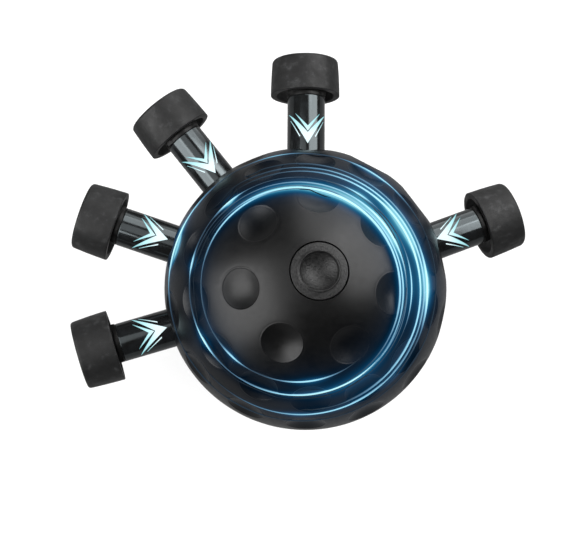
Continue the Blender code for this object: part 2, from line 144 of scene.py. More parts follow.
# Painted glow on the shell beside a stripe, as a bright core and a wide haze, and the dark inking under it, which
# paints shade by cutting the shell's reflections
PAINTED_GLOW_STRENGTH = 0.55
CORE_WIDTH = 0.5 * MM
GLOW_HAZE = 0.42
GLOW_HAZE_WIDTH = 2.4 * MM
INK_AND_SHADE_EDGE = 0.6 * MM
INK_AND_SHADE_FADE = 1.25 * MM
# Where the painted glow spreads more: (stripe, counted from 0, azimuth, reach along it, width across it, amount)
FLARES = (
    (0, 228, 6, 0.4 * MM, 0.2),
    (0, 280, 8, 0.5 * MM, 0.3),
    (0, 195, 40, 3.0 * MM, 0.16),
    (1, 70, 24, 1.25 * MM, 1.0),
    (1, 104, 20, 1.0 * MM, 0.6),
    (2, 312, 30, 3.0 * MM, 0.2),
    (3, 35, 14, 0.7 * MM, 0.7),
    (4, 128, 4, 0.7 * MM, 0.6),
    (4, 167, 4, 0.5 * MM, 0.4),
    (4, 209, 5, 0.45 * MM, 0.35),
    (5, 57, 6, 0.5 * MM, 0.4),
    (6, 32, 14, 1.1 * MM, 0.9),
    (7, 268, 7, 0.5 * MM, 0.4),
    (8, 0, 10, 0.8 * MM, 0.8),
    (8, 318, 8, 0.5 * MM, 0.35),
    (9, 158, 9, 0.8 * MM, 0.8),
    (9, 60, 7, 0.5 * MM, 0.35),
)
# Each stripe's hoop: its height over the ball, its depth in it, its narrowest share of its width, the
# glow below which it sinks out of sight, and how much of the painted glow its two crests and two feet get, the
# feet painted dimmer
HOOP_LIFT = 0.07 * MM
HOOP_SINK = 0.22 * MM
HOOP_NARROWEST = 0.12
HOOP_FADE = 0.04
HOOP_GLOW = (1.0, 1.0, 0.4, 0.4)

# The printed arrow on each stem: its tip's distance from the ball's centre, and its length
ARROW_START = 41.2 * MM
ARROW_LENGTH = 13.6 * MM
ARROW_LIFT = 0.03 * MM
ARROW_SINK = 0.06 * MM

# Camera and light, and how bright the world is above and below the horizon
VIEW_DIRECTION = Vector((-0.0926, -0.1145, 0.9891)).normalized()
VIEW_DISTANCE = 0.350
VIEW_AIM = (-5.9 * MM, 5.5 * MM)
LENS = 77.55
WORLD_ABOVE = 0.015
WORLD_BELOW = 0.4
HORIZON = 0.04
LIGHT_DISTANCE = 0.9


# ---- mesh helpers ------------------------------------------------------------


def mesh_object(name, points, faces, sharp_deg=SHARP_DEG):
    """A new object from arrays of points and faces, shaded smooth up to the sharp angle."""
    mesh = bpy.data.meshes.new(name)
    mesh.from_pydata(np.asarray(points).tolist(), [], faces)
    mesh.validate()
    mesh.shade_smooth()
    mesh.set_sharp_from_angle(angle=math.radians(sharp_deg))
    obj = bpy.data.objects.new(name, mesh)
    bpy.context.scene.collection.objects.link(obj)
    return obj


def coordinates(mesh):
    """A mesh's vertices as an array of xyz rows."""
    points = np.zeros(len(mesh.vertices) * 3)
    mesh.vertices.foreach_get("co", points)
    return points.reshape(-1, 3)


def arc(centre, radii, start_deg, end_deg, steps):
    """Points (across, along) on a round or elliptical arc, both ends included."""
    angles = np.radians(np.linspace(start_deg, end_deg, steps + 1))
    across = centre[0] + radii[0] * np.cos(angles)
    along = centre[1] + radii[1] * np.sin(angles)
    return list(zip(across.tolist(), along.tolist()))


def rounded(corners, closed, steps=6):
    """Points of a profile of corners, each (across, along) or, where it becomes an arc, with a radius too."""
    points = []
    count = len(corners)
    for i, corner in enumerate(corners):
        here = Vector(corner[:2])
        radius = corner[2] if len(corner) > 2 else 0.0
        inside = closed or 0 < i < count - 1
        if radius == 0.0 or not inside:
            points.append(tuple(here))
            continue
        back = Vector(corners[i - 1][:2]) - here
        ahead = Vector(corners[(i + 1) % count][:2]) - here
        half = back.angle(ahead) / 2
        reach = min(radius / math.tan(half), 0.48 * back.length, 0.48 * ahead.length)
        start = here + back.normalized() * reach
        end = here + ahead.normalized() * reach
        for step in range(steps + 1):
            t = step / steps
            points.append(tuple(start * (1 - t) ** 2 + here * 2 * t * (1 - t) + end * t * t))
    return points


def with_round_ends(points, radius):
    """The points as corners of a profile, with a radius at the first and the last."""
    return [(*points[0], radius), *points[1:-1], (*points[-1], radius)]


def refined(profile, step):
    """The same closed profile with points no further apart than step."""
    points = []
    for a, b in zip(profile, profile[1:] + profile[:1]):
        a, b = Vector(a), Vector(b)
        parts = max(1, math.ceil((b - a).length / step))
        points += [tuple(a.lerp(b, k / parts)) for k in range(parts)]
    return points


def turned(profile, segments):
    """Points and faces of a turned shape. The profile of (radius, height) points runs down its outer side.

    A solid's profile starts and ends on the axis; any other profile is closed into a ring."""
    solid = profile[0][0] < 1e-9
    rings = profile[1:-1] if solid else profile
    angles = np.arange(segments) * 2 * math.pi / segments
    radius, height = np.array(rings).T
    points = np.stack([
        np.outer(radius, np.cos(angles)),
        np.outer(radius, np.sin(angles)),
        np.outer(height, np.ones(segments)),
    ], axis=-1).reshape(-1, 3)
    here = np.arange(segments)
    beside = (here + 1) % segments
    rows = len(rings) - 1 if solid else len(rings)
    faces = []
    for row in range(rows):
        top = row * segments
        low = (row + 1) % len(rings) * segments
        faces += np.stack([top + here, low + here, low + beside, top + beside], axis=1).tolist()
    if solid:
        first = len(points)
        points = np.vstack([points, [(0, 0, profile[0][1]), (0, 0, profile[-1][1])]])
        last_row = (len(rings) - 1) * segments
        faces += [[first, a, b] for a, b in zip(here.tolist(), beside.tolist())]
        faces += [[first + 1, last_row + b, last_row + a] for a, b in zip(here.tolist(), beside.tolist())]
    return points, faces


def placed(points, matrix):
    """An array of points moved by a 4x4 matrix."""
    rows = np.array(matrix)
    return np.asarray(points) @ rows[:3, :3].T + rows[:3, 3]


def slab(points, normals, lift, sink):
    """Points and faces of a thin solid layer: a grid (along, across) raised by lift and sunk by sink."""
    along, across = points.shape[:2]
    top = points + normals * lift
    bottom = points - normals * sink
    vertices = np.vstack([top.reshape(-1, 3), bottom.reshape(-1, 3)])
    under = along * across
    faces = []
    for i in range(along - 1):
        a = i * across
        b = a + across
        for j in range(across - 1):
            faces.append([a + j, b + j, b + j + 1, a + j + 1])
            faces.append([under + a + j, under + a + j + 1, under + b + j + 1, under + b + j])
        edge = across - 1
        faces.append([a, under + a, under + b, b])
        faces.append([a + edge, b + edge, under + b + edge, under + a + edge])
    last = (along - 1) * across
    for j in range(across - 1):
        faces.append([j, j + 1, under + j + 1, under + j])
        faces.append([last + j, under + last + j, under + last + j + 1, last + j + 1])
    return vertices, faces


def swept(sections, loop):
    """Points and faces of a solid swept through closed sections, an array of (section, corner, xyz).

    A loop joins its last section to its first. Any other solid gets a flat face at each end."""
    count, corners = sections.shape[:2]
    faces = []
    for i in range(count if loop else count - 1):
        here, after = i * corners, (i + 1) % count * corners
        for k in range(corners):
            beside = (k + 1) % corners
            faces.append([here + k, after + k, after + beside, here + beside])
    if not loop:
        last = (count - 1) * corners
        faces.append(list(range(corners)))
        faces.append([last + k for k in reversed(range(corners))])
    return sections.reshape(-1, 3), faces


def merged(parts):
    """Several (points, faces) shapes as one."""
    points, faces, count = [], [], 0
    for part_points, part_faces in parts:
        points.append(np.asarray(part_points))
        faces += [[count + index for index in face] for face in part_faces]
        count += len(part_points)
    return np.vstack(points), faces


def combine(obj, shape, operation):
    """Joins a closed shape to an object, or cuts it away, and shades the result."""
    tool = mesh_object(obj.name + "_tool", *shape)
    boolean = obj.modifiers.new("combine", "BOOLEAN")
    boolean.operation = operation
    boolean.solver = "EXACT"
    boolean.object = tool
    evaluated = obj.evaluated_get(bpy.context.evaluated_depsgraph_get())
    result = bpy.data.meshes.new_from_object(evaluated)
    obj.modifiers.clear()
    old = obj.data
    obj.data = result
    bpy.data.meshes.remove(old)
    bpy.data.objects.remove(tool)
    result.name = obj.name
    result.shade_smooth()
    result.set_sharp_from_angle(angle=math.radians(SHARP_DEG))


def attribute(obj, name, values):
    """Stores one number for each vertex, for the material to read."""
    layer = obj.data.attributes.new(name, "FLOAT", "POINT")
    layer.data.foreach_set("value", np.asarray(values, np.float32))


# ---- materials ---------------------------------------------------------------


class Material:
    """A material whose node tree is wired in short steps. Pattern sizes are in metres."""

    def __init__(self, name, roughness=0.5, metallic=0.0):
        self.material = bpy.data.materials.new(name)
        self.material.use_nodes = True
        self.tree = self.material.node_tree
        self.shader = self.tree.nodes["Principled BSDF"]
        self.coordinates = self.tree.nodes.new("ShaderNodeTexCoord").outputs["Object"]
        self.set("Roughness", roughness)
        self.set("Metallic", metallic)

    def set(self, socket, value):
        """Fixes one input of the shader."""
        self.shader.inputs[socket].default_value = value

    def feed(self, socket, output):
        """Drives one input of the shader from a node."""
        self.tree.links.new(output, self.shader.inputs[socket])

    def noise(self, size, detail=2.0, roughness=0.5):
        """A noise whose patches are about that size."""
        node = self.tree.nodes.new("ShaderNodeTexNoise")
        node.inputs["Scale"].default_value = 1.0 / size
        node.inputs["Detail"].default_value = detail
        node.inputs["Roughness"].default_value = roughness
        self.tree.links.new(self.coordinates, node.inputs["Vector"])
        return node.outputs["Fac"]

    def attribute(self, name):
        """A number stored at each vertex of the mesh."""
        node = self.tree.nodes.new("ShaderNodeAttribute")
        node.attribute_name = name
        return node.outputs["Fac"]

    def ramp(self, value, *stops):
        """A colour ramp from (place, (red, green, blue)) stops."""
        node = self.tree.nodes.new("ShaderNodeValToRGB")
        elements = node.color_ramp.elements
        while len(elements) < len(stops):
            elements.new(0.5)
        for element, (place, colour) in zip(elements, stops):
            element.position = place
            element.color = (*colour, 1.0)
        self.tree.links.new(value, node.inputs["Fac"])
        return node.outputs["Color"]

    def mix(self, factor, first, second):
        """The first colour where the factor is 0, and the second where it is 1."""
        node = self.tree.nodes.new("ShaderNodeMix")
        node.data_type = "RGBA"
        self.tree.links.new(factor, node.inputs["Factor"])
        self.tree.links.new(first, node.inputs["A"])
        node.inputs["B"].default_value = (*second, 1.0)
        return node.outputs["Result"]

    def between(self, value, low, high):
        """Maps the middle of a noise, 0.3 to 0.7, to a range from low to high."""
        node = self.tree.nodes.new("ShaderNodeMapRange")
        node.inputs["From Min"].default_value = 0.3
        node.inputs["From Max"].default_value = 0.7
        node.inputs["To Min"].default_value = low
        node.inputs["To Max"].default_value = high
        self.tree.links.new(value, node.inputs["Value"])
        return node.outputs["Result"]

    def bump(self, height, depth, below=None):
        """Bumps of that depth. A second bump lies on top of the one given as below."""
        node = self.tree.nodes.new("ShaderNodeBump")
        node.inputs["Strength"].default_value = 1.0
        node.inputs["Distance"].default_value = depth
        self.tree.links.new(height, node.inputs["Height"])
        if below is not None:
            self.tree.links.new(below, node.inputs["Normal"])
        return node.outputs["Normal"]


def grey(value):
    return (value, value, value)


def shell_material():
    """Satin black moulding with a fine grain and crisp dimple rims. Beside the pinstripes it has a painted blue
    glow, and dark metallic inking that also paints shade by cutting the shell's reflections.
    """
    look = Material("satin_black_shell")
    ink_and_shade = look.attribute("ink_and_shade")
    plastic = look.ramp(look.noise(7 * MM, detail=4.0), (0.35, grey(0.0008)), (0.7, grey(0.002)))
    # Dark metallic inking beside the stripes: partly print, partly painted shade, as it cuts the shell's
    # reflections there
    look.feed("Base Color", look.mix(ink_and_shade, plastic, (0.0003, 0.0008, 0.0015)))
    look.feed("Roughness", look.between(look.noise(1.1 * MM, detail=3.0), 0.31, 0.39))
    look.feed("Metallic", ink_and_shade)
    look.set("Specular IOR Level", 0.2)
    grain = look.bump(look.noise(0.22 * MM), 0.0035 * MM)
    marks = look.bump(look.noise(1.6 * MM, detail=3.0), 0.004 * MM, grain)
    lip = look.ramp(look.attribute("rim"), (0.38, grey(0.0)), (0.5, grey(1.0)), (0.62, grey(0.0)))
    look.feed("Normal", look.bump(lip, 0.07 * MM, marks))
    # Painted glow: a blue emission beside the stripes, from the glow number
    painted_glow = look.ramp(
        look.attribute("glow"),
        (0.0, grey(0.0)),
        (0.15, (0.0004, 0.010, 0.026)),
        (0.35, (0.003, 0.045, 0.112)),
        (0.6, (0.012, 0.13, 0.26)),
        (0.8, (0.06, 0.29, 0.43)),
        (1.0, (0.25, 0.64, 0.77)),
    )
    look.feed("Emission Color", painted_glow)
    look.set("Emission Strength", 1.0)
    return look.material


def cap_material():
    """Spark-eroded black plastic, a little paler and grainier than the shell."""
    look = Material("grained_black_cap")
    mottle = look.noise(0.5 * MM, detail=4.0)
    look.feed("Base Color", look.ramp(mottle, (0.35, grey(0.0015)), (0.7, grey(0.012))))
    look.feed("Roughness", look.between(look.noise(0.6 * MM), 0.34, 0.5))
    look.set("Specular IOR Level", 0.2)
    look.feed("Normal", look.bump(look.noise(0.42 * MM, detail=3.0), 0.13 * MM))
    return look.material


def stem_material():
    """High-gloss black tube with faint handling marks in its polish."""
    look = Material("gloss_black_stem")
    colour = look.ramp(look.noise(3 * MM), (0.3, grey(0.003)), (0.7, (0.005, 0.0055, 0.006)))
    look.feed("Base Color", colour)
    look.feed("Roughness", look.between(look.noise(1.8 * MM, detail=5.0, roughness=0.65), 0.10, 0.18))
    look.set("Specular IOR Level", 0.52)
    look.set("Specular Tint", (0.84, 0.96, 1.0, 1.0))
    look.feed("Normal", look.bump(look.noise(2.5 * MM, detail=1.0), 0.006 * MM))
    return look.material


def rubber_material():
    """Soft black rubber: matt, with paler scuffs, powdery patches and a fine pitted skin."""
    look = Material("sleeve_rubber")
    scuffs = look.noise(3.0 * MM, detail=8.0, roughness=0.68)
    colour = look.ramp(
        scuffs,
        (0.3, grey(0.0022)),
        (0.55, (0.0045, 0.0046, 0.0047)),
        (0.76, (0.024, 0.0245, 0.025)),
    )
    look.feed("Base Color", colour)
    look.feed("Roughness", look.between(look.noise(4.5 * MM, detail=5.0, roughness=0.6), 0.42, 0.66))
    look.set("Sheen Weight", 0.02)
    look.set("Specular IOR Level", 0.19)
    look.set("Sheen Roughness", 0.45)
    pits = look.bump(look.noise(0.28 * MM, detail=2.0), 0.022 * MM)
    look.feed("Normal", look.bump(look.noise(1.7 * MM, detail=5.0), 0.09 * MM, pits))
    return look.material


def plain_material(name, dark, pale, rough_low, rough_high, metallic=0.0, specular=0.5):
    """A plain plastic or metal finish: two close colours, uneven polish and a fine grain."""
    look = Material(name, metallic=metallic)
    look.set("Specular IOR Level", specular)
    look.feed("Base Color", look.ramp(look.noise(2.0 * MM, detail=4.0), (0.3, dark), (0.7, pale)))
    look.feed("Roughness", look.between(look.noise(0.7 * MM, detail=3.0), rough_low, rough_high))
    look.feed("Normal", look.bump(look.noise(0.25 * MM), 0.004 * MM))
    return look.material


def glowing_material(name, *stops):
    """Printing with a painted glow: its emission, and its paler base colour, follow the glow number stored on the
    mesh.
    """
    look = Material(name, roughness=0.6)
    look.set("Specular IOR Level", 0.05)
    glow = look.attribute("glow")
    look.feed("Base Color", look.ramp(glow, (0.0, (0.002, 0.003, 0.004)), (1.0, (0.05, 0.08, 0.09))))
    look.feed("Emission Color", look.ramp(glow, *stops))
    look.set("Emission Strength", 1.0)
    return look.material


MATERIALS = {
    "shell": shell_material(),
    "cap": cap_material(),
    "stem": stem_material(),
    "rubber": rubber_material(),
    "saddle": plain_material("black_nylon_saddle", grey(0.0016), grey(0.003), 0.3, 0.42, specular=0.12),
    "hub": plain_material("grey_hub", grey(0.13), grey(0.19), 0.4, 0.55),
    "bush": plain_material("natural_acetal", (0.58, 0.57, 0.52), (0.7, 0.69, 0.65), 0.32, 0.45),
    "steel": plain_material("plated_steel", grey(0.5), (0.66, 0.66, 0.68), 0.2, 0.36, metallic=1.0),
    "spring": plain_material("drawn_spring_wire", grey(0.38), grey(0.52), 0.25, 0.4, metallic=1.0),
}
# Printed pinstripes with a painted glow: emission from the glow number
STRIPE_INK_AND_GLOW = glowing_material(
    "pinstripe_ink_painted_glow",
    (0.0, (0.001, 0.001, 0.001)),
    (0.12, (0.026, 0.056, 0.1)),
    (0.3, (0.075, 0.2, 0.34)),
    (0.6, (0.3, 0.68, 0.88)),
    (1.0, (0.6, 1.0, 1.0)),
)
# Printed arrows with a painted glow: emission from the glow number
ARROW_INK_AND_GLOW = glowing_material(
    "arrow_ink_painted_glow",
    (0.0, (0.004, 0.05, 0.06)),
    (0.35, (0.22, 0.6, 0.65)),
    (0.75, (0.5, 0.84, 0.88)),
    (1.0, (0.8, 0.95, 0.97)),
)


def finish_piece(obj, node, body):
    """Gives a fine mesh its body and the material of its CAD node's slot, and lets it stand for the CAD node."""
    obj.data.materials.clear()
    obj.data.materials.append(MATERIALS[SLOTS[node]])
    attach(obj, body)
    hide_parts(node)


# ---- finger positions and pieces ---------------------------------------------


def finger_frame(finger):
    """Local +Z points out along the stem, local +Y points up, and the origin is the ball's centre."""
    outward = Vector(JOINTS[finger + "_press"]["axis"])
    upward = Vector((0.0, 0.0, 1.0))
    sideways = upward.cross(outward)
    return Matrix.Translation(CENTRE) @ Matrix((sideways, upward, outward)).transposed().to_4x4()


def local_box(node, matrix):
    """Lowest and highest corner of a CAD node in a local frame."""
    points = placed(coordinates(frame["nodes"][node].data), matrix.inverted())
    return points.min(axis=0), points.max(axis=0)


def build_turned_piece(node, profile, matrix, body):
    """A turned part, from its profile, in place of a CAD node."""
    points, faces = turned(profile, ROUND_SEGMENTS)
    obj = mesh_object(node + "_fine", placed(points, matrix), faces)
    finish_piece(obj, node, body)


# ---- the ball ----------------------------------------------------------------


def dimple_directions():
    """Unit vectors from the ball's centre to every dimple, in rings on the front half and the rear half."""
    directions = []
    for side in (1, -1):
        for polar_deg, count in DIMPLE_RINGS:
            polar = math.radians(polar_deg)
            for k in range(count):
                azimuth = math.radians(DIMPLE_START_DEG + 360.0 * k / count)
                x = math.sin(polar) * math.cos(azimuth)
                y = math.sin(polar) * math.sin(azimuth)
                directions.append((x, y, side * math.cos(polar)))
    return np.array(directions)


DIMPLES = dimple_directions()


def from_dimple(directions):
    """Distance over the ball from the middle of the nearest dimple."""
    nearest = (directions @ DIMPLES.T).max(axis=1)
    return BALL_RADIUS * np.arccos(np.clip(nearest, -1.0, 1.0))


def surface_radius(directions):
    """Distance from the ball's centre to its surface along unit vectors: dimples with softened edges."""
    away = from_dimple(directions)
    bowl = DIMPLE_DEPTH * (1.0 - (away / DIMPLE_RADIUS) ** 2)
    return BALL_RADIUS - 0.5 * (bowl + np.sqrt(bowl**2 + DIMPLE_SOFTNESS**2))


def dimpled(points):
    """Moves the points that lie on the ball's outside onto its dimpled surface."""
    tolerance = 0.02 * MM
    distance = np.linalg.norm(points, axis=1)
    outside = np.abs(distance - BALL_RADIUS) < tolerance
    directions = points[outside] / distance[outside, None]
    points[outside] = directions * surface_radius(directions)[:, None]
    return points


def ball_arc(radius, start_deg, end_deg, rows):
    """Points of a profile round the ball's centre."""
    return arc((0.0, 0.0), (radius, radius), start_deg, end_deg, rows)


def front_shell_profile():
    """The front half shell, cut through its axis: dimpled outside, screw column, and recess for the cap."""
    recess = FRONT_CAP_RADIUS + GAP
    floor = FRONT_CAP_FACE - FRONT_RECESS_DEPTH
    pad_radius = recess + 2.3 * MM
    pad_underside = floor - 2.4 * MM
    outer_top = math.degrees(math.acos(recess / BALL_RADIUS))
    inner_top = math.degrees(math.acos(pad_radius / INNER_RADIUS))
    seam = math.degrees(math.asin(GAP / 2 / BALL_RADIUS))
    edge = 0.3 * MM
    corners = with_round_ends(ball_arc(BALL_RADIUS, outer_top, seam, BALL_ROWS), 0.22 * MM)
    corners += ball_arc(INNER_RADIUS, seam, inner_top, INNER_ROWS)
    corners += [
        (pad_radius, pad_underside, edge),
        (COLUMN_RADIUS, pad_underside, 1.0 * MM),
        (COLUMN_RADIUS, HUB_HALF_HEIGHT + GAP, edge),
        (SCREW_BORE, HUB_HALF_HEIGHT + GAP),
        (SCREW_BORE, HEAD_SEAT, edge),
        (HEAD_BORE, HEAD_SEAT),
        (HEAD_BORE, floor, edge),
        (recess, floor),
    ]
    return rounded(corners, closed=True, steps=4)


def rear_shell_profile():
    """The rear half shell, cut through its axis: dimpled outside, recess for the cap, and nut column."""
    recess = REAR_CAP_RADIUS + GAP
    floor = -REAR_FLAT + REAR_RECESS_DEPTH
    pad_top = floor + 2.2 * MM
    outer_end = -math.degrees(math.asin(REAR_FLAT / BALL_RADIUS))
    inner_end = math.degrees(math.asin(pad_top / INNER_RADIUS))
    seam = -math.degrees(math.asin(GAP / 2 / BALL_RADIUS))
    edge = 0.3 * MM
    corners = with_round_ends(ball_arc(BALL_RADIUS, seam, outer_end, BALL_ROWS), edge)
    corners += [
        (recess, -REAR_FLAT, edge),
        (recess, floor),
        (SCREW_BORE, floor, edge),
        (SCREW_BORE, -HUB_HALF_HEIGHT - GAP),
        (COLUMN_RADIUS, -HUB_HALF_HEIGHT - GAP, edge),
        (COLUMN_RADIUS, pad_top, 1.0 * MM),
    ]
    corners += ball_arc(INNER_RADIUS, inner_end, seam, INNER_ROWS)
    return rounded(corners, closed=True, steps=4)


def for_each_stem(profile):
    """One turned tool along every stem, as a single shape."""
    points, faces = turned(profile, TOOL_SEGMENTS)
    return merged([(placed(points, finger_frame(finger)), faces) for finger in FINGERS])


def port_shapes():
    """A cutter for each stem's port, flared where it leaves the ball."""
    flare_start = BALL_RADIUS - 1.0 * MM
    flare_length = 1.4 * MM
    past_ball = BALL_RADIUS + 4 * MM
    inside_shell = 31 * MM
    widest = PORT_RADIUS + (past_ball - flare_start) * PORT_CHAMFER / flare_length
    return for_each_stem([
        (0.0, past_ball),
        (widest, past_ball),
        (PORT_RADIUS, flare_start),
        (PORT_RADIUS, inside_shell),
        (0.0, inside_shell),
    ])


def round_tools(radius, start, end):
    """A plain round tool along each stem, between two distances from the ball's centre."""
    return for_each_stem([(0.0, end), (radius, end), (radius, start), (0.0, start)])


def nut_pocket():
    """A six-sided tool that leaves room for the nut, from below the ball up to just above the nut."""
    nut_top = max(v.co.z for v in frame["nodes"]["centre_nut"].data.vertices) - CENTRE.z
    radius, top, bottom = NUT_POCKET_RADIUS, nut_top + GAP, -BALL_RADIUS
    points, faces = turned([(0.0, top), (radius, top), (radius, bottom), (0.0, bottom)], segments=6)
    turn = Matrix.Translation(CENTRE) @ Matrix.Rotation(math.radians(90), 4, "Z")
    return placed(points, turn), faces


def degrees_from(azimuth_deg, middle_deg):
    """Signed angle from the middle, between -180 and 180 degrees."""
    return (azimuth_deg - middle_deg + 180.0) % 360.0 - 180.0


def stripe_axis(stripe):
    """The unit vector that a stripe goes round."""
    lean_x, lean_y = stripe.lean
    return np.array([lean_x, lean_y, math.sqrt(1.0 - lean_x**2 - lean_y**2)])


def stripe_glow(stripe, azimuth_deg):
    """Painted brightness of a stripe from 0 to 1 at an angle round the ball, with its painted highlights."""
    glow = np.full(np.shape(azimuth_deg), stripe.base_glow)
    for middle, reach, amount in stripe.spots:
        glow = glow + amount * np.exp(-((degrees_from(azimuth_deg, middle) / reach) ** 2))
    return np.clip(glow, 0.0, 1.0)


def halo(local):
    """How much painted glow lies on the shell at each point, and how much dark inking, which also paints shade,
    lies there: none at the back.

    The points are measured from the ball's centre."""
    glow_total = np.zeros(len(local))
    ink_and_shade_total = np.zeros(len(local))
    for number, stripe in enumerate(STRIPES):
        axis = stripe_axis(stripe)
        height = local @ axis
        across = local - np.outer(height, axis)
        azimuth = np.degrees(np.arctan2(across[:, 1], across[:, 0]))
        away = np.abs(np.linalg.norm(across, axis=1) - stripe.radius)
        glow = stripe_glow(stripe, azimuth)
        # Painted glow: a bright core and a wide haze about the stripe
        painted_glow = PAINTED_GLOW_STRENGTH * glow**1.5 * (np.exp(-away / CORE_WIDTH) + GLOW_HAZE * np.exp(-away / GLOW_HAZE_WIDTH))
        for flare, middle, reach, width, amount in FLARES:
            if flare == number:
                painted_glow += amount * np.exp(-((degrees_from(azimuth, middle) / reach) ** 2) - away / width)
        glow_total += np.where(height > 0, painted_glow, 0.0)
        # Dark inking that also paints shade, strongest where the stripe glows
        ink_and_shade = np.sqrt(glow) * np.exp(-((np.maximum(0.0, away - INK_AND_SHADE_EDGE) / INK_AND_SHADE_FADE) ** 2))
        ink_and_shade_total += np.where(height > 0, ink_and_shade, 0.0)
    return np.clip(glow_total, 0.0, 1.0), np.clip(ink_and_shade_total, 0.0, 1.0)


def seam_side(side):
    """A block that fills everything past the seam, for the half shell on the other side of it."""
    reach = 1.5 * BALL_RADIUS
    near, far = -side * GAP / 2, -side * reach
    points = [(x, y, z) for z in (near, far) for x, y in ((-1, -1), (1, -1), (1, 1), (-1, 1))]
    points = np.array(points) * (reach, reach, 1.0) + np.array(CENTRE)
    faces = [[0, 1, 2, 3], [7, 6, 5, 4], [0, 4, 5, 1], [1, 5, 6, 2], [2, 6, 7, 3], [3, 7, 4, 0]]
    if side > 0:
        return points, faces
    return points, [face[::-1] for face in faces]


def build_shell(node, side, profile):
    """A half shell with its bosses, bush seats and ports. The side is 1 for the front and -1 for the rear."""
    points, faces = turned(profile, BALL_SEGMENTS)
    points = dimpled(points) + np.array(CENTRE)
    shell = mesh_object(node + "_fine", points, faces)
    low, high = local_box(FINGERS[0] + "_guide_bush", finger_frame(FINGERS[0]))
    bush_start, bush_radius = low[2], high[0]
    boss_root = INNER_RADIUS + 0.4 * MM
    seat_start = bush_start - 4 * MM
    combine(shell, round_tools(BOSS_RADIUS, bush_start, boss_root), "UNION")
    combine(shell, seam_side(side), "DIFFERENCE")
    combine(shell, round_tools(bush_radius + GAP, seat_start, INNER_RADIUS), "DIFFERENCE")
    combine(shell, port_shapes(), "DIFFERENCE")
    if side < 0:
        combine(shell, nut_pocket(), "DIFFERENCE")
    local = coordinates(shell.data) - np.array(CENTRE)
    glow, ink_and_shade = halo(local)
    past_rim = from_dimple(local / np.linalg.norm(local, axis=1, keepdims=True)) - DIMPLE_RADIUS
    # Painted glow, and dark inking that also paints shade, for the shell's material
    attribute(shell, "glow", glow)
    attribute(shell, "ink_and_shade", ink_and_shade)
    attribute(shell, "rim", np.clip(0.5 + past_rim / RIM_SPAN, 0.0, 1.0))
    finish_piece(shell, node, "ball")


def on_ball(radius):
    """Height of the smooth ball's surface at a distance from its axis."""
    return math.sqrt(BALL_RADIUS**2 - radius**2)


def build_front_cap():
    """The round cap, with a raised lip about a finger bowl and a plug that fills the screw's hole."""
    underside = FRONT_CAP_FACE - FRONT_RECESS_DEPTH + GAP
    plug_end = underside - 6 * MM
    bowl_depth = 1.9 * MM
    bowl_half = 4.75 * MM
    wall = 0.75 * MM
    lip = 0.38 * MM
    bowl_radius = (bowl_half**2 + bowl_depth**2) / (2 * bowl_depth)
    rim = math.degrees(math.asin(bowl_half / bowl_radius))
    bowl_centre = on_ball(bowl_half) - wall - bowl_depth + bowl_radius
    bowl = arc((0.0, bowl_centre), (bowl_radius, bowl_radius), -90, -90 + rim, 16)
    # The profile has to start exactly on the axis
    bowl[0] = (0.0, bowl[0][1])
    plug = HEAD_BORE - GAP
    crest = bowl_half + 0.35 * MM
    foot = crest + 0.55 * MM
    middle = (foot + FRONT_CAP_RADIUS) / 2
    corners = bowl[:-1] + [
        (*bowl[-1], 0.15 * MM),
        (crest, on_ball(crest) + lip, 0.3 * MM),
        (foot, on_ball(foot), 0.25 * MM),
        (middle, on_ball(middle), 0.5 * MM),
        (FRONT_CAP_RADIUS, FRONT_CAP_FACE, 0.12 * MM),
        (FRONT_CAP_RADIUS, underside, 0.2 * MM),
        (plug, underside),
        (plug, plug_end, 0.4 * MM),
        (0.0, plug_end),
    ]
    build_turned_piece("front_cap", rounded(corners, closed=False), Matrix.Translation(CENTRE), "ball")


def build_rear_cap():
    """The flat cap that the ball stands on, with a stub that reaches up towards the nut."""
    top = -REAR_FLAT + REAR_RECESS_DEPTH - GAP
    stub = 3.5 * MM
    stub_top = top + 6 * MM
    bottom = -CENTRE.z
    corners = [
        (0.0, stub_top),
        (stub, stub_top, 0.4 * MM),
        (stub, top, 0.4 * MM),
        (REAR_CAP_RADIUS, top, 0.2 * MM),
        (REAR_CAP_RADIUS, bottom, 0.4 * MM),
        (0.0, bottom),
    ]
    build_turned_piece("rear_cap", rounded(corners, closed=False), Matrix.Translation(CENTRE), "ball")


